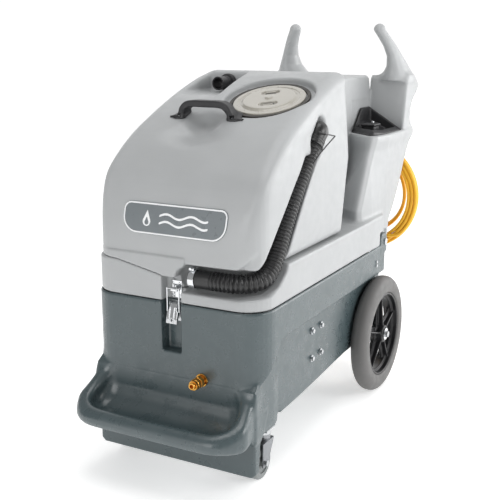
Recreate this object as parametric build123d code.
from build123d import *
import math
import os

# Portable box extractor for carpets: a moulded base on two large rear wheels and
# two front casters, and a grey tank assembly that tilts back on a rear hinge.
# Millimetres. +X is the machine's right side, +Y points to its rear, +Z is up.
# The origin is on the floor, below the middle of the machine.

# ---------------------------------------------------------------- driving sizes
WHEEL_R = 152.4                      # 12 in rear wheel
WHEEL_W = 44.0
TYRE_IN = 193.0                      # inner side face of the rear tyre
RIM_R = 109.7
AXLE_Y = 227.0
AXLE_R = 8.0
RUN_FIT = 0.05                       # radial clearance of a running fit

CASTER_R = 38.0                      # 3 in front caster
CASTER_W = 24.0
CASTER_X = 168.0
CASTER_Y = -343.0
CASTER_TRAIL = 22.0
CASTER_TOP = 110.0                   # underside of the caster pad

HALF_W = 209.0                       # shell half width at the parting line
LOW_HALF_W = 190.0                   # inset side panels
FRONT_Y = -432.0
REAR_Y = 295.0
PART_Z = 384.0                       # parting line between base and tank
CREASE_Z = 309.0
WALL = 6.0
FLOOR_Z = 170.0                      # floor of the motor compartment
SKIRT_HALF_W = 195.0
SKIRT_Z = 31.0

LIP_Y = -549.0                       # front edge of the tool tray
TRAY_HALF_W = 215.0
TRAY_TOP_Z = 158.0
TRAY_CORNER_R = 88.0

HINGE_Y = 279.0
HINGE_Z = 389.0
PIN_R = 5.0

DECK_Z = 462.0                       # top deck of the solution tank
TANK_GAP = 0.5
SHOULDER_Z = 668.0
SHOULDER_HALF_W = 200.0
BLOCK_HALF_W = 97.0
BLOCK_Z = 812.0
DOME_REAR_Y = 48.0
DOME_HALF_W = 203.0
DOME_TOP_HALF_W = 180.0

LID_C = (68.0, -122.0, 776.0)
LID_TILT = 19.0
LID_R = 78.0
LID_WELL_R = 103.0
FLOAT_C = (-10.0, 2.0)

INLET_X = -112.0
INLET_Z = 806.0
INLET_R = 16.0

LATCH_X = -1.5
HOSE_R = 20.0
CHANNEL_R = 25.0
COUPLER = (72.0, FRONT_Y, 228.0)

CORD_R = 5.0
GLAND_X = 60.0
GLAND_Z = 480.0
SWITCH_X = (-40.0, 0.0, 40.0)
PANEL_LOW = (457.3, 706.0)
PANEL_HIGH = (430.7, 786.0)
COIL_C = (70.0, 496.0, 470.0)
COIL_R = 129.0
COIL_BAND_R = 20.0

os.makedirs("parts", exist_ok=True)


def save(node, shape):
    """Write one node's STEP file."""
    export_step(shape, "parts/" + node + ".step")


def group(*shapes):
    """Several separate solids in one node."""
    solids = []
    for shape in shapes:
        solids += shape.solids()
    return Compound(children=solids)


def block(x0, x1, y0, y1, z0, z1):
    """Axis-aligned box between two corners."""
    middle = ((x0 + x1) / 2, (y0 + y1) / 2, (z0 + z1) / 2)
    return Pos(*middle) * Box(x1 - x0, y1 - y0, z1 - z0)


def rod_x(x0, x1, y, z, radius):
    """Cylinder along X."""
    return Pos((x0 + x1) / 2, y, z) * Rot(0, 90, 0) * Cylinder(radius, x1 - x0)


def rod_y(x, y0, y1, z, radius):
    """Cylinder along Y."""
    return Pos(x, (y0 + y1) / 2, z) * Rot(90, 0, 0) * Cylinder(radius, y1 - y0)


def rod_z(x, y, z0, z1, radius):
    """Cylinder along Z."""
    return Pos(x, y, (z0 + z1) / 2) * Cylinder(radius, z1 - z0)


def slab_x(points, x0, x1):
    """A (y, z) polygon extruded along X from x0 to x1."""
    face = Plane.YZ.offset(x0) * make_face(Polyline(*points, close=True))
    return extrude(face, x1 - x0, dir=(1, 0, 0))


def slab_y(points, y0, y1):
    """A (x, z) polygon extruded along Y from y0 to y1."""
    face = make_face(Polyline(*[(x, y0, z) for x, z in points], close=True))
    return extrude(face, y1 - y0, dir=(0, 1, 0))


def plan(x_half, y0, y1, z0, z1, front_r, rear_r):
    """Rounded rectangle in plan, extruded along Z."""
    box = block(-x_half, x_half, y0, y1, z0, z1)
    upright = box.edges().filter_by(Axis.Z).sort_by(Axis.Y)
    box = fillet(upright[:2], front_r)
    upright = box.edges().filter_by(Axis.Z).sort_by(Axis.Y)
    return fillet(upright[-2:], rear_r)


def hexagon_x(x0, x1, y, z, across):
    """Hexagonal bar along X, such as a bolt head."""
    face = Plane.YZ.offset(x0) * Pos(y, z) * RegularPolygon(across / 2, 6, major_radius=False)
    return extrude(face, x1 - x0, dir=(1, 0, 0))


def corner_radii(points):
    """Arc radius at each inner point: 0.45 of the shorter run over tan(half turn)."""
    route = [Vector(*p) for p in points]
    radii = []
    for before, here, after in zip(route, route[1:], route[2:]):
        shorter = min((here - before).length, (after - here).length)
        turn = (here - before).get_angle(after - here)
        radii.append(0.45 * shorter / math.tan(math.radians(turn) / 2))
    return radii


def bent_tube(points, radius, name):
    """Round solid along straight runs joined by tangent arcs."""
    radii = corner_radii(points)
    path = FilletPolyline(*points, radius=radii)
    start = path.position_at(0)
    along = path.tangent_at(0)
    face = Plane(origin=start, z_dir=along) * Circle(radius)
    tube = sweep(face, path=path)
    ideal = math.pi * radius ** 2 * path.length
    print(name, "arc radii", [round(r, 1) for r in radii],
          "length", round(path.length, 1), "volume ratio", round(tube.volume / ideal, 4))
    return tube


# ---------------------------------------------------------------- drain hose path
HOSE_ROUTE = [
    (34.0, -407.0, 435.0),
    (90.0, -407.0, 435.0),
    (146.0, -402.0, 434.0),
    (180.0, -368.0, 438.0),
    (185.0, -318.0, 462.0),
    (186.0, -266.0, 512.0),
    (186.0, -222.0, 570.0),
    (186.0, -184.0, 628.0),
    (186.0, -150.0, 686.0),
]
HOSE_END = HOSE_ROUTE[-1]


# ---------------------------------------------------------------- base
def ear(side):
    """Hinge ear that rises from a rear corner of the base."""
    x0, x1 = sorted((side * 195.0, side * HALF_W))
    cheek = slab_x([(247, PART_Z - 20), (247, 400), (256, 414), (284, 414), (REAR_Y, 402),
                    (REAR_Y, PART_Z - 20)], x0, x1)
    return cheek


def base_shell():
    """Rotomoulded base: open compartment, tool tray, skirt and hinge ears."""
    upper = plan(HALF_W, FRONT_Y, REAR_Y, CREASE_Z, PART_Z, 58, 20)
    lower = slab_x([(FRONT_Y, CREASE_Z), (FRONT_Y, 150), (-413, CASTER_TOP), (-322, CASTER_TOP),
                    (-306, 128), (61, 145), (180, 145), (REAR_Y, 200), (REAR_Y, CREASE_Z)],
                   -LOW_HALF_W, LOW_HALF_W)
    corner = slab_x([(FRONT_Y, CREASE_Z), (FRONT_Y, 118), (-392, 118), (-385, 253),
                     (-360, 283), (-332, CREASE_Z)], -HALF_W, HALF_W)
    corner = corner & plan(HALF_W, FRONT_Y, REAR_Y, 100, PART_Z, 58, 20)
    skirt = slab_x([(FRONT_Y, 160), (FRONT_Y, SKIRT_Z), (-412, SKIRT_Z), (-406, CASTER_TOP),
                    (-392, 160)], -SKIRT_HALF_W, SKIRT_HALF_W)
    tray = slab_x([(FRONT_Y + 20, 114), (-500, 116), (-538, 120), (LIP_Y, 130), (LIP_Y, 146),
                   (-540, TRAY_TOP_Z), (-520, 162), (-490, 188), (-455, 218), (-401, 251),
                   (-365, 285), (-365, 114)], -TRAY_HALF_W, TRAY_HALF_W)
    tray = tray & plan(TRAY_HALF_W, LIP_Y, -300, 100, 300, TRAY_CORNER_R, 5)
    scoop = slab_x([(FRONT_Y, 148), (-508, 148), (-522, 170), (-522, 300), (FRONT_Y, 300)],
                   -172, 172)
    shell = upper + lower + corner + skirt + (tray - scoop)
    shell += ear(-1) + ear(1)
    room_low = block(-LOW_HALF_W + WALL, LOW_HALF_W - WALL, -400, 272, FLOOR_Z, CREASE_Z + 8)
    room_top = plan(HALF_W - WALL, FRONT_Y + WALL, 272, CREASE_Z + 6, PART_Z + 1, 52, 14)
    rear_gap = block(-194.5, 194.5, 262, REAR_Y + 1, 352, 430)
    shell -= room_low + room_top + rear_gap
    shell += block(-25 - WALL, 22 + WALL, FRONT_Y + WALL, -404 + WALL, 277 - WALL, PART_Z)
    shell -= block(-25, 22, FRONT_Y - 1, -404, 277, PART_Z + 1)
    shell -= rod_x(-250, 250, AXLE_Y, WHEEL_R, AXLE_R)
    for side in (-1, 1):
        shell -= rod_x(*sorted((side * 190, side * 215)), HINGE_Y, HINGE_Z, PIN_R)
    shell -= rod_y(COUPLER[0], FRONT_Y - 1, -390, COUPLER[2], 8.0)
    for side in (-1, 1):
        for dy in (-25, 25):
            for dz in (-33, 33):
                x0, x1 = sorted((side * 180, side * 195))
                shell -= rod_x(x0, x1, -122 + dy, 234 + dz, 4.0)
    return shell


def side_bolts():
    """Four bolts on each side that carry the motor brackets."""
    bolts = []
    for side in (-1, 1):
        for dy in (-25, 25):
            for dz in (-33, 33):
                y, z = -122 + dy, 234 + dz
                head = rod_x(*sorted((side * LOW_HALF_W, side * 193)), y, z, 8.0)
                head += hexagon_x(*sorted((side * 193, side * 197)), y, z, 10.0)
                bolts.append(head + rod_x(*sorted((side * 178, side * LOW_HALF_W)), y, z, 4.0))
    return group(*bolts)


def ear_screws():
    """Two small screws at each rear upper corner of the base."""
    screws = []
    for side in (-1, 1):
        for z in (337, 347):
            x0, x1 = sorted((side * HALF_W, side * (HALF_W + 2.5)))
            screws.append(rod_x(x0, x1, 217, z, 4.0))
    return group(*screws)


def hinge_pins():
    """Headed pins through the ears, on which the tank assembly tilts."""
    pins = []
    for side in (-1, 1):
        shank = rod_x(*sorted((side * 172, side * HALF_W)), HINGE_Y, HINGE_Z, PIN_R)
        head = rod_x(*sorted((side * HALF_W, side * (HALF_W + 3))), HINGE_Y, HINGE_Z, 9.0)
        pins.append(shank + head)
    return group(*pins)


def coupler_body():
    """Brass quick-connect nipple with its bore."""
    x, y, z = COUPLER
    body = rod_y(x, y - 9, y - 1, z, 11.0) + rod_y(x, y - 28, y - 9, z, 8.0)
    body += rod_y(x, y - 42, y - 28, z, 6.0) + rod_y(x, y - 1, -392, z, 8.0)
    return body - rod_y(x, y - 43, -391, z, 3.0)


def coupler_nut():
    """Knurled nut that holds the nipple in the wall."""
    x, y, z = COUPLER
    sleeve = rod_y(x, y - 27, y - 11, z, 11.5) - rod_y(x, y - 28, y - 10, z, 8.05)
    return sleeve


def vacuum_motor(side):
    """Three-stage vacuum motor on its flange."""
    x, y = side * 92.0, -60.0
    stack = rod_z(x, y, FLOOR_Z + 14, FLOOR_Z + 74, 72)
    for level in (34, 54):
        stack -= (rod_z(x, y, FLOOR_Z + level, FLOOR_Z + level + 3, 75)
                  - rod_z(x, y, FLOOR_Z + level, FLOOR_Z + level + 3, 70))
    stack += rod_z(x, y, FLOOR_Z + 74, FLOOR_Z + 80, 60)
    stack += rod_z(x, y, FLOOR_Z + 80, FLOOR_Z + 150, 44)
    stack += rod_z(x, y, FLOOR_Z + 150, FLOOR_Z + 172, 26)
    return stack


def motor_gaskets():
    """Rubber rings under the vacuum motors."""
    rings = []
    for side in (-1, 1):
        ring = rod_z(side * 92, -60, FLOOR_Z, FLOOR_Z + 14, 70)
        rings.append(ring - rod_z(side * 92, -60, FLOOR_Z, FLOOR_Z + 14, 50))
    return group(*rings)


def motor_brackets():
    """Angle brackets inside the side walls."""
    brackets = []
    for side in (-1, 1):
        wall = side * (LOW_HALF_W - WALL)
        plate = block(*sorted((wall, wall - side * 4)), -160, -84, 190, 282)
        foot = block(*sorted((wall, wall - side * 14)), -160, -140, 190, 194)
        for dy in (-25, 25):
            for dz in (-33, 33):
                x0, x1 = sorted((side * 175, side * 195))
                plate -= rod_x(x0, x1, -122 + dy, 234 + dz, 4.0)
        brackets.append(plate + foot)
    return group(*brackets)


def pump():
    """Solution pump head with its ports."""
    head = block(-20, 34, -330, -270, FLOOR_Z + 14, FLOOR_Z + 74)
    return head + rod_y(COUPLER[0] - 60, -342, -330, COUPLER[2], 8.0)


def pump_motor():
    """Motor behind the pump head, lying along Y."""
    motor = rod_y(7, -270, -166, FLOOR_Z + 44, 34)
    return motor + rod_y(7, -166, -156, FLOOR_Z + 44, 16)


def pump_feet():
    """Rubber feet under the pump."""
    feet = []
    for x in (-12, 26):
        for y in (-322, -278):
            feet.append(rod_z(x, y, FLOOR_Z, FLOOR_Z + 14, 7))
    return group(*feet)


PRESSURE_ROUTE = [
    (12.0, -342.0, 228.0),
    (12.0, -360.0, 228.0),
    (30.0, -370.0, 229.0),
    (50.0, -364.0, 229.0),
    (66.0, -368.0, 228.5),
    (72.0, -380.0, 228.0),
    (72.0, -392.0, 228.0),
]


# ---------------------------------------------------------------- wheels
def rim(side):
    """Five-spoked moulded rim with a hub bored for the axle."""
    x0, x1 = sorted((side * 197.0, side * 233.0))
    ring = rod_x(x0, x1, AXLE_Y, WHEEL_R, RIM_R)
    ring -= rod_x(x0 - 1, x1 + 1, AXLE_Y, WHEEL_R, 97.0)
    hub_in, hub_out = sorted((side * 191.0, side * 236.0))
    web = rod_x(*sorted((side * 211.0, side * 217.0)), AXLE_Y, WHEEL_R, 100.0)
    web -= rod_x(*sorted((side * 210.0, side * 218.0)), AXLE_Y, WHEEL_R, 30.0)
    for index in range(5):
        turn = Pos(0, AXLE_Y, WHEEL_R) * Rot(72.0 * index + 36.0, 0, 0)
        window = slab_x([(10, 46), (-10, 46), (-44, 84), (-24, 92), (0, 94), (24, 92), (44, 84)],
                        side * 214 - 6, side * 214 + 6)
        web -= turn * window
    wheel = ring + web + rod_x(hub_in, hub_out, AXLE_Y, WHEEL_R, 24.0)
    for index in range(5):
        turn = Pos(0, AXLE_Y, WHEEL_R) * Rot(72.0 * index, 0, 0)
        rib = block(side * 215 - 12, side * 215 + 12, -3, 3, 20, 99)
        wheel += turn * rib
    return wheel - rod_x(hub_in - 1, hub_out + 1, AXLE_Y, WHEEL_R, AXLE_R + RUN_FIT)


def tyre(side):
    """Rounded rubber tyre on the rim."""
    middle = side * (TYRE_IN + WHEEL_W / 2)
    solid = rod_x(middle - WHEEL_W / 2, middle + WHEEL_W / 2, AXLE_Y, WHEEL_R, WHEEL_R)
    rims = solid.edges().filter_by(GeomType.CIRCLE)
    solid = fillet(rims, 19.0)
    return solid - rod_x(middle - 30, middle + 30, AXLE_Y, WHEEL_R, RIM_R)


def hub_washers():
    """Large plain washers outside the hubs."""
    rings = []
    for side in (-1, 1):
        x0, x1 = sorted((side * 236.3, side * 238.5))
        rings.append(rod_x(x0, x1, AXLE_Y, WHEEL_R, 16.0) - rod_x(x0, x1, AXLE_Y, WHEEL_R, 4.0))
    return group(*rings)


def hub_bolts():
    """Hexagon bolts screwed into the axle's ends."""
    bolts = []
    for side in (-1, 1):
        head = hexagon_x(*sorted((side * 238.5, side * 245.0)), AXLE_Y, WHEEL_R, 15.0)
        bolts.append(head + rod_x(*sorted((side * 216, side * 238.5)), AXLE_Y, WHEEL_R, 4.0))
    return group(*bolts)


def rear_axle():
    """Steel axle through the base, tapped at both ends."""
    bar = rod_x(-236.3, 236.3, AXLE_Y, WHEEL_R, AXLE_R)
    for side in (-1, 1):
        bar -= rod_x(*sorted((side * 216, side * 237)), AXLE_Y, WHEEL_R, 4.0)
    return bar


def caster_plates():
    """Swivel plates screwed under the base."""
    plates = []
    for side in (-1, 1):
        x = side * CASTER_X
        x0, x1 = sorted((side * (CASTER_X - 28), side * (LOW_HALF_W - 2)))
        plate = block(x0, x1, CASTER_Y - 22, CASTER_Y + 19, CASTER_TOP - 4, CASTER_TOP)
        plates.append(plate + rod_z(x, CASTER_Y, CASTER_TOP - 14, CASTER_TOP - 4, 17)
                      - rod_z(x, CASTER_Y, CASTER_TOP - 15, CASTER_TOP - 5, 6 + RUN_FIT))
    return group(*plates)


def caster_fork(side):
    """Pressed fork with its king pin."""
    x, y = side * CASTER_X, CASTER_Y - CASTER_TRAIL
    crown = block(x - 18, x + 18, CASTER_Y - 34, CASTER_Y + 16, 80, 84)
    fork = crown + rod_z(x, CASTER_Y, 84, 95.5, 16) + rod_z(x, CASTER_Y, 95, 104.0, 6)
    for dx in (-18, 15):
        cheek = slab_x([(y - 11, 30), (y + 11, 30), (CASTER_Y + 16, 82), (CASTER_Y - 34, 82)],
                       x + dx, x + dx + 3)
        fork += cheek
    return fork - rod_x(x - 20, x + 20, y, CASTER_R, 4.0)


def caster_wheel(side):
    """Grey caster wheel with its hub."""
    x, y = side * CASTER_X, CASTER_Y - CASTER_TRAIL
    roll = rod_x(x - CASTER_W / 2, x + CASTER_W / 2, y, CASTER_R, CASTER_R)
    roll = fillet(roll.edges().filter_by(GeomType.CIRCLE), 6.0)
    for dx in (-13, 9):
        recess = rod_x(x + dx, x + dx + 4, y, CASTER_R, 24) - rod_x(x + dx, x + dx + 4, y, CASTER_R, 10)
        roll -= recess
    roll += rod_x(x - 14, x + 14, y, CASTER_R, 9)
    return roll - rod_x(x - 20, x + 20, y, CASTER_R, 4.0 + RUN_FIT)


def caster_bolt(side):
    """Axle bolt and nut of one caster."""
    x, y = side * CASTER_X, CASTER_Y - CASTER_TRAIL
    bolt = rod_x(x - 20, x + 20, y, CASTER_R, 4.0)
    bolt += hexagon_x(x - 22.5, x - 18, y, CASTER_R, 12.0)
    return bolt + hexagon_x(x + 18, x + 23, y, CASTER_R, 12.0)


# ---------------------------------------------------------------- latch
LATCH_PIVOT_Y = -412.0
LATCH_PIVOT_Z = 374.0
BAIL_PIVOT_Y = -422.0
BAIL_PIVOT_Z = 363.0


def latch_plate():
    """Riveted base plate of the draw latch, with two cheeks and the lever's pin."""
    plate = block(LATCH_X - 14, LATCH_X + 14, -406, -404, 338, 382)
    for dx in (-12, 10):
        plate += block(LATCH_X + dx, LATCH_X + dx + 2, -418, -406, 367, 381)
    return plate + rod_x(LATCH_X - 12, LATCH_X + 12, LATCH_PIVOT_Y, LATCH_PIVOT_Z, 2.0)


def latch_lever():
    """Draw lever that hangs from its pin, with a turned-out finger end."""
    side_view = [(-407.5, 374), (-412, 379), (-418, 378), (-425, 366), (-429, 350),
                 (-431, 338), (-427, 337), (-421, 348), (-417, 356), (-410, 369)]
    lever = slab_x(side_view, LATCH_X - 9.7, LATCH_X + 9.7)
    lever -= rod_x(LATCH_X - 15, LATCH_X + 15, LATCH_PIVOT_Y, LATCH_PIVOT_Z, 2.0 + RUN_FIT)
    return lever - rod_x(LATCH_X - 15, LATCH_X + 15, BAIL_PIVOT_Y, BAIL_PIVOT_Z, 1.5 + RUN_FIT)


def latch_bail():
    """Wire loop that draws the tank down."""
    loop = rod_x(LATCH_X - 16, LATCH_X + 16, BAIL_PIVOT_Y, BAIL_PIVOT_Z, 1.5)
    for dx in (-14.5, 14.5):
        loop += rod_z(LATCH_X + dx, BAIL_PIVOT_Y, BAIL_PIVOT_Z - 1.5, 412.5, 1.5)
    return loop + rod_x(LATCH_X - 16, LATCH_X + 16, BAIL_PIVOT_Y, 411, 1.5)


def latch_keeper():
    """Keeper on the tank, with the lip that the wire loop catches."""
    plate = block(LATCH_X - 10, LATCH_X + 10, -407, -405, 396, 426)
    return plate + block(LATCH_X - 8, LATCH_X + 8, -419.5, -407, 404, 409)


# ---------------------------------------------------------------- tank assembly
def solution_tank():
    """Lower grey tank: pan, rear section, corner pillars and push horns."""
    pan = plan(207, FRONT_Y + 2, 268, PART_Z + TANK_GAP, DECK_Z, 58, 8)
    rear = slab_x([(DOME_REAR_Y + 8, PART_Z + 20), (DOME_REAR_Y + 8, SHOULDER_Z),
                   (500, SHOULDER_Z), (514, 660), (508, 650), (472, 622), (442, 588),
                   (416, 544), (368, 477), (330, 437), (303, 404), (292, 388),
                   (268, PART_Z + TANK_GAP), (200, PART_Z + TANK_GAP)],
                  -SHOULDER_HALF_W, SHOULDER_HALF_W)
    rear = rear & plan(SHOULDER_HALF_W, DOME_REAR_Y + 8, 560, 300, 700, 40, 60)
    centre = slab_x([(DOME_REAR_Y + 8, 600), (DOME_REAR_Y + 8, 806), (DOME_REAR_Y + 20, BLOCK_Z),
                     (412, BLOCK_Z), (424, 806), (470, SHOULDER_Z), (430, 600)],
                    -BLOCK_HALF_W, BLOCK_HALF_W)
    tank = pan + rear + centre
    for side in (-1, 1):
        x0, x1 = sorted((side * (BLOCK_HALF_W - 2), side * SHOULDER_HALF_W))
        pillar = slab_x([(425, 640), (425, 806), (470, 812), (524, 801), (549, 784), (545, 766),
                         (500, 738), (478, 708), (486, 682), (505, SHOULDER_Z), (480, 640)], x0, x1)
        tank += pillar + horn(side)
        x0, x1 = sorted((side * 194, side * 215))
        tank -= block(x0, x1, 243, 310, 380, 418)
        tank -= rod_x(*sorted((side * 171, side * 200)), HINGE_Y, HINGE_Z, PIN_R + RUN_FIT)
    tank -= latch_recess() + hose_channel()
    tank -= block(-25, 34, -440, -342, 436, DECK_Z + 1) + block(22, 34, -440, -342, 408, 440)
    tank -= block(BLOCK_HALF_W, 186, 120, 424, SHOULDER_Z - 16, 700)
    tank -= tank_room()
    tank -= rod_z(140, 260, 600, 700, 26)
    tank -= rod_y(GLAND_X, 360, 420, GLAND_Z, 14)
    tank -= hook_root()
    for x in SWITCH_X:
        tank -= panel_frame(-4) * Pos(x, 0, 0) * Box(24, 36, 12)
    return tank


def tank_room():
    """Hollow of the solution tank: the pan, the rear section and the console."""
    room = block(-201, 201, -330, 258, PART_Z + 7, DECK_Z - WALL)
    rear = slab_x([(DOME_REAR_Y + 14, 440), (DOME_REAR_Y + 14, 646), (470, 646), (464, 628),
                   (432, 590), (406, 546), (358, 479), (318, 440)], -194, 194)
    console = block(-BLOCK_HALF_W + WALL, BLOCK_HALF_W - WALL, DOME_REAR_Y + 16, 405, 640,
                    BLOCK_Z - WALL)
    return room + rear + console


def latch_recess():
    """Recess in the pan's front for the latch and its keeper."""
    return block(-25, 22, FRONT_Y - 1, -405, PART_Z - 1, 436)


def horn(side):
    """Push handle that tapers upwards, leaning in and forwards."""
    sections = [(800, 150, 484, 46, 56), (822, 156, 474, 33, 50), (850, 158, 462, 25, 38),
                (880, 150, 446, 20, 28), (908, 138, 430, 17, 21), (930, 128, 418, 14, 16)]
    faces = []
    for z, x, y, rx, ry in sections:
        faces.append(Pos(side * x, y, z) * Ellipse(rx, ry))
    spire = loft(faces)
    tip = Pos(side * 126.5, 416, 931) * Sphere(17.5)
    return spire + tip


def hose_channel():
    """Open groove that the drain hose lies in."""
    cut = bent_tube(HOSE_ROUTE, CHANNEL_R, "hose_channel")
    x, y, z = HOSE_END
    up = Vector(*HOSE_END) - Vector(*HOSE_ROUTE[-2])
    head = Plane(origin=(x, y, z), z_dir=up) * Pos(0, 0, 38) * Cylinder(30, 80)
    wall = block(34, 150, -440, -407, 410, 463)
    return cut + head + wall


def dome_body(inset):
    """Solid of the recovery tank, or of its hollow when inset is positive."""
    front = [(-430, DECK_Z), (-427, 512), (-414, 560), (-396, 604), (-368, 650), (-326, 687),
             (-268, 724), (-200, 760), (-120, 795), (-40, 820), (20, 831)]
    run = [(y + inset * 0.9, z - inset * 0.5) for y, z in front[1:]]
    low = DECK_Z + TANK_GAP + inset
    rear_y = DOME_REAR_Y - inset
    curve = Spline(*run)
    outline = Line((front[0][0] + inset, low), run[0]) + curve
    outline += Polyline(run[-1], (rear_y - 12, 832 - inset), (rear_y, 818 - inset),
                        (rear_y, 640), (rear_y - 40, low), (front[0][0] + inset, low))
    side_view = extrude(Plane.YZ.offset(-230) * make_face(outline), 460, dir=(1, 0, 0))
    w_low, w_top = DOME_HALF_W - inset, DOME_TOP_HALF_W - inset
    gable = slab_y([(-w_low, low - 2), (w_low, low - 2), (w_low - 2, 640), (w_top + 4, 800),
                    (w_top - 16, 826), (w_top - 44, 845), (-w_top + 44, 845),
                    (-w_top + 16, 826), (-w_top - 4, 800), (-w_low + 2, 640)], -480, 80)
    footprint = plan(DOME_HALF_W - inset, front[0][0] + inset, rear_y, low, 900,
                     76, 14)
    return side_view & gable & footprint


def lid_place():
    """Frame of the round access lid on the sloping top."""
    return Pos(*LID_C) * Rot(LID_TILT, 0, 0)


def recovery_tank():
    """Grey dome: hollow, with a round access mouth and a drain sump."""
    shell = dome_body(0) - dome_body(WALL)
    collar = lid_place() * Pos(0, 0, -20) * Cylinder(LID_WELL_R + 4, 36)
    collar = collar & dome_body(0)
    shell += collar
    shell += block(-23, 31, FRONT_Y + 3, -345, 438, DECK_Z + 7)
    shell += block(24, 31, FRONT_Y + 3, -345, 411, 440)
    hump = trench(WALL) & dome_body(0)
    shell += hump
    shell -= lid_place() * Pos(0, 0, 40) * Cylinder(LID_WELL_R, 86)
    shell -= lid_place() * Pos(0, 0, -10) * Cylinder(66, 90)
    shell -= trench(0)
    shell -= rod_y(INLET_X, 0, DOME_REAR_Y - WALL, INLET_Z, INLET_R)
    channel = hose_channel()
    groove_wall = bent_tube(HOSE_ROUTE, CHANNEL_R + WALL, "groove_wall")
    x, y, z = HOSE_END
    up = Vector(*HOSE_END) - Vector(*HOSE_ROUTE[-2])
    groove_wall += Plane(origin=(x, y, z), z_dir=up) * Pos(0, 0, 38) * Cylinder(36, 92)
    shell += groove_wall & dome_body(0)
    shell -= channel
    shell -= block(-17, 24, -423, -351, 444, DECK_Z + 20)
    shell -= rod_x(20, 40, HOSE_ROUTE[0][1], 450, 6)
    return shell


def trench(wall):
    """Sunken trench at the top left for the vacuum hose, or its walls' outside."""
    return block(-164 - wall, -62 + wall, -175, 14 + wall, 785 - wall, 860)


def vacuum_inlet():
    """Black inlet spigot: open to the front, flanged on the trench's rear wall."""
    body = rod_y(INLET_X, -40, 40, INLET_Z, INLET_R) + rod_y(INLET_X, 4, 14, INLET_Z, 21)
    return body - rod_y(INLET_X, -41, 41, INLET_Z, INLET_R - 3)


def recovery_lid():
    """Clear round lid with two finger recesses and a boss."""
    disc = lid_place() * Pos(0, 0, 2) * Cylinder(LID_R, 6)
    disc += lid_place() * Pos(0, 0, 6.5) * Cylinder(9, 5)
    disc += lid_place() * Pos(0, 0, -7) * (Cylinder(62, 14) - Cylinder(58, 15))
    for turn in (90, 270):
        place = lid_place() * Rot(0, 0, turn + 20)
        disc -= place * Pos(0, 38, 4) * Box(26, 11, 6)
    return disc


def lid_gasket():
    """Dark ring that the lid seats on."""
    ring = lid_place() * Pos(0, 0, -2.0) * (Cylinder(84, 2) - Cylinder(66, 2))
    return ring


HANDLE_X = -29.0
HANDLE_FEET = (-66.0, 66.0)
HANDLE_Y = -224.0


def carry_handle():
    """Dark bow handle across the slope in front of the lid."""
    route = [(-66, -222, 742), (-60, -228, 762), (-44, -232, 773), (44, -232, 773),
             (60, -228, 762), (66, -222, 742)]
    path = FilletPolyline(*[(HANDLE_X + x, y, z) for x, y, z in route], radius=[9, 12, 12, 9])
    section = Plane(origin=path.position_at(0), z_dir=path.tangent_at(0)) * Rectangle(13, 22)
    bow = sweep(section, path=path, transition=Transition.ROUND)
    for dx in HANDLE_FEET:
        bow += Pos(HANDLE_X + dx, HANDLE_Y, 745) * Rot(26, 0, 0) * Box(28, 36, 12)
    return bow - dome_body(0)


def handle_screws():
    """Screws down through the carry handle's feet."""
    screws = []
    for dx in HANDLE_FEET:
        place = Pos(HANDLE_X + dx, HANDLE_Y, 745) * Rot(26, 0, 0)
        screws.append(place * Pos(0, -12, 5) * Cylinder(3.5, 7))
    return group(*screws)


def drain_hose():
    """Corrugated hose from the drain clamp to its plug."""
    return bent_tube(HOSE_ROUTE, HOSE_R, "drain_hose")


def hose_clamp():
    """Steel band clamp at the drain outlet."""
    x, y, z = HOSE_ROUTE[0]
    band = rod_x(x + 3, x + 17, y, z, HOSE_R + 2.5) - rod_x(x + 2, x + 18, y, z, HOSE_R)
    return band + block(x + 4, x + 16, y - 14, y - 2, z + HOSE_R + 1, z + HOSE_R + 5)


def drain_plug():
    """Black rubber plug on the hose's upper end."""
    up = Vector(*HOSE_END) - Vector(*HOSE_ROUTE[-2])
    place = Plane(origin=HOSE_END, z_dir=up)
    cap = place * Pos(0, 0, 20) * Cylinder(HOSE_R + 3, 40)
    return cap + place * Pos(0, 0, 50) * Cone(HOSE_R + 3, 13, 20)


def plug_bail():
    """Wire tie from the plug to the hose."""
    points = [(213, -150, 713), (216, -94, 703), (214, -170, 668)]
    wire = Polyline(*points)
    face = Plane(origin=wire.position_at(0), z_dir=wire.tangent_at(0)) * Circle(1.6)
    return sweep(face, path=wire, transition=Transition.ROUND)


def fill_tray():
    """Black liner of the fill well, with a round filler neck."""
    z0 = SHOULDER_Z - 16
    pan = block(BLOCK_HALF_W, 186, 120, 424, z0, SHOULDER_Z + 4)
    pan += block(BLOCK_HALF_W, BLOCK_HALF_W + 4, 180, 424, z0, 728)
    pan -= block(BLOCK_HALF_W + 4, 182, 124, 420, z0 + 4, SHOULDER_Z + 8)
    neck = rod_z(140, 260, z0 - 40, z0 + 4, 26) - rod_z(140, 260, z0 - 41, z0 + 5, 22)
    return pan - rod_z(140, 260, z0 - 1, z0 + 5, 22) + neck


def fill_cap():
    """Box-shaped plug with strainer that closes the filler neck."""
    z0 = SHOULDER_Z - 12
    cap = block(120, 160, 238, 282, z0 + 0.3, z0 + 20) + rod_z(140, 260, z0 - 30, z0 + 0.3, 21.5)
    cap -= rod_z(140, 260, z0 - 31, z0 - 4, 18)
    return cap + rod_z(140, 260, z0 + 20, z0 + 24, 5)


def badge_plate():
    """Rounded shield plate on the dome's front."""
    plate = block(-121, 127, FRONT_Y - 2, FRONT_Y + 40, 499, 577)
    upright = plate.edges().filter_by(Axis.Y).sort_by(Axis.Z)
    plate = fillet(upright[:2], 38)
    upright = plate.edges().filter_by(Axis.Y).sort_by(Axis.Z)
    plate = fillet(upright[-2:], 16)
    band = dome_body(-2.5) - dome_body(0)
    return plate & band


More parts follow.
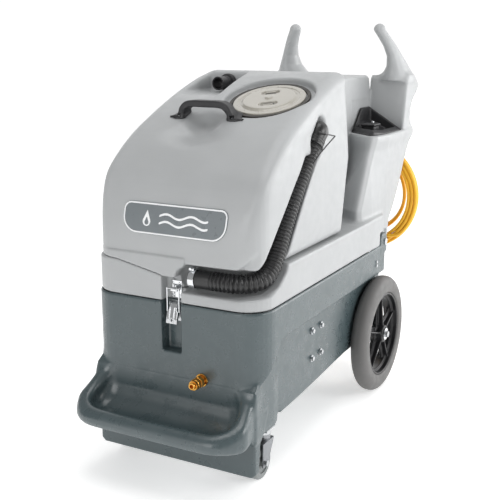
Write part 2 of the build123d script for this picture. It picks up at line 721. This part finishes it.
def float_cage():
    """Cage that hangs from the dome's roof around the float."""
    x, y = FLOAT_C
    cage = rod_z(x, y, 806, 812, 34) - rod_z(x, y, 805, 813, 14)
    for index in range(6):
        angle = math.radians(60 * index)
        cage += rod_z(x + 30 * math.cos(angle), y + 30 * math.sin(angle), 712, 807, 2.5)
    return cage + rod_z(x, y, 708, 713, 34) - rod_z(x, y, 707, 714, 16)


def float_ball():
    """Shut-off float."""
    return Pos(*FLOAT_C, 732.4) * Sphere(25)


def standpipe():
    """Upright duct that carries air from the dome down to the motors."""
    duct = rod_z(-140, -52, DECK_Z + TANK_GAP + WALL, 745, 22)
    return duct - rod_z(-140, -52, DECK_Z, 746, 19)


def panel_frame(offset):
    """Frame on the sloping operator panel, z_dir out of the panel."""
    dy, dz = PANEL_HIGH[0] - PANEL_LOW[0], PANEL_HIGH[1] - PANEL_LOW[1]
    normal = Vector(0, dz, -dy).normalized()
    middle = Vector(0, (PANEL_LOW[0] + PANEL_HIGH[0]) / 2, (PANEL_LOW[1] + PANEL_HIGH[1]) / 2)
    return Plane(origin=middle + normal * offset, x_dir=(1, 0, 0), z_dir=normal)


def control_panel():
    """Operator panel with three rectangular switch cut-outs."""
    plate = panel_frame(3.4) * Box(150, 68, 6)
    for x in SWITCH_X:
        plate -= panel_frame(3.4) * Pos(x, 0, 0) * Box(20.4, 32.4, 8)
    return plate


def rocker(x):
    """Rocker switch in the panel, with short pivot pins at its sides."""
    key = panel_frame(5) * Pos(x, 0, 0) * Box(19.4, 30, 7)
    return key + panel_frame(4) * Pos(x, 0, 0) * Rot(0, 90, 0) * Cylinder(2, 20.2)


def cord_gland():
    """Strain relief where the power cord leaves the rear wall."""
    nut = rod_y(GLAND_X, 362, 384, GLAND_Z, 14) + rod_y(GLAND_X, 384, 396, GLAND_Z, 9)
    return nut - rod_y(GLAND_X, 380, 397, GLAND_Z, CORD_R)


CORD_ROUTE = [
    (60.0, 380.0, 480.0),
    (60.0, 414.0, 480.0),
    (64.0, 443.0, 473.0),
    (72.0, 467.0, 454.0),
    (81.0, 484.0, 427.0),
    (88.0, 493.0, 396.0),
    (91.0, 496.0, 364.0),
]


def cord_coil():
    """Outer shape of the hung coil of power cord."""
    return Pos(*COIL_C) * Rot(90, 0, 0) * Torus(COIL_R, COIL_BAND_R)


def cord_tail():
    """Short straight end that hangs inside the coil."""
    return rod_z(0, COIL_C[1], 470, 556, CORD_R)


def cord_plug():
    """Moulded three-pin plug at the cord's end."""
    body = rod_z(0, COIL_C[1], 428, 462, 17) + rod_z(0, COIL_C[1], 462, 480, 9)
    body -= rod_z(0, COIL_C[1], 470, 481, CORD_R)
    for dx, dy in ((-6, 5), (6, 5), (0, -6)):
        body += rod_z(dx, COIL_C[1] + dy, 410, 428, 2.2)
    return body


def cord_hook():
    """Hook on the rear wall that the coil hangs on."""
    x, z = COIL_C[0], COIL_C[2] + COIL_R - COIL_BAND_R - 11.5
    return hook_root() + rod_y(x, 440, 526, z, 10) + rod_z(x, 526, z - 8, z + 26, 8)


def hook_root():
    """Round foot of the cord hook, let into the rear wall."""
    z = COIL_C[2] + COIL_R - COIL_BAND_R - 11.5
    return rod_y(COIL_C[0], 420, 446, z, 18)


def main():
    """Build and write every node."""
    save("base_shell", base_shell())
    save("side_bolts", side_bolts())
    save("ear_screws", ear_screws())
    save("hinge_pins", hinge_pins())
    save("quick_coupler", coupler_body())
    save("coupler_nut", coupler_nut())
    save("motor_gaskets", motor_gaskets())
    save("motor_brackets", motor_brackets())
    save("pump", pump())
    save("pump_motor", pump_motor())
    save("pump_feet", pump_feet())
    save("pressure_hose", bent_tube(PRESSURE_ROUTE, 6.0, "pressure_hose"))
    save("rear_axle", rear_axle())
    save("hub_washers", hub_washers())
    save("hub_bolts", hub_bolts())
    save("caster_plates", caster_plates())
    for side, word in ((-1, "left"), (1, "right")):
        save(word + "_vacuum_motor", vacuum_motor(side))
        save(word + "_rim", rim(side))
        save(word + "_tyre", tyre(side))
        save(word + "_caster_fork", caster_fork(side))
        save(word + "_caster_wheel", caster_wheel(side))
        save(word + "_caster_bolt", caster_bolt(side))
    save("latch_plate", latch_plate())
    save("latch_lever", latch_lever())
    save("latch_bail", latch_bail())
    save("latch_keeper", latch_keeper())
    save("solution_tank", solution_tank())
    save("recovery_tank", recovery_tank())
    save("vacuum_inlet", vacuum_inlet())
    save("recovery_lid", recovery_lid())
    save("lid_gasket", lid_gasket())
    save("carry_handle", carry_handle())
    save("handle_screws", handle_screws())
    save("drain_hose", drain_hose())
    save("hose_clamp", hose_clamp())
    save("drain_plug", drain_plug())
    save("plug_bail", plug_bail())
    save("fill_tray", fill_tray())
    save("fill_cap", fill_cap())
    save("badge_plate", badge_plate())
    save("float_cage", float_cage())
    save("float_ball", float_ball())
    save("standpipe", standpipe())
    save("control_panel", control_panel())
    for x, word in zip(SWITCH_X, ("left_vacuum", "pump", "right_vacuum")):
        save(word + "_switch", rocker(x))
    save("cord_gland", cord_gland())
    save("cord_lead", bent_tube(CORD_ROUTE, CORD_R, "cord_lead"))
    save("cord_coil", cord_coil())
    save("cord_tail", cord_tail())
    save("cord_plug", cord_plug())
    save("cord_hook", cord_hook())


main()
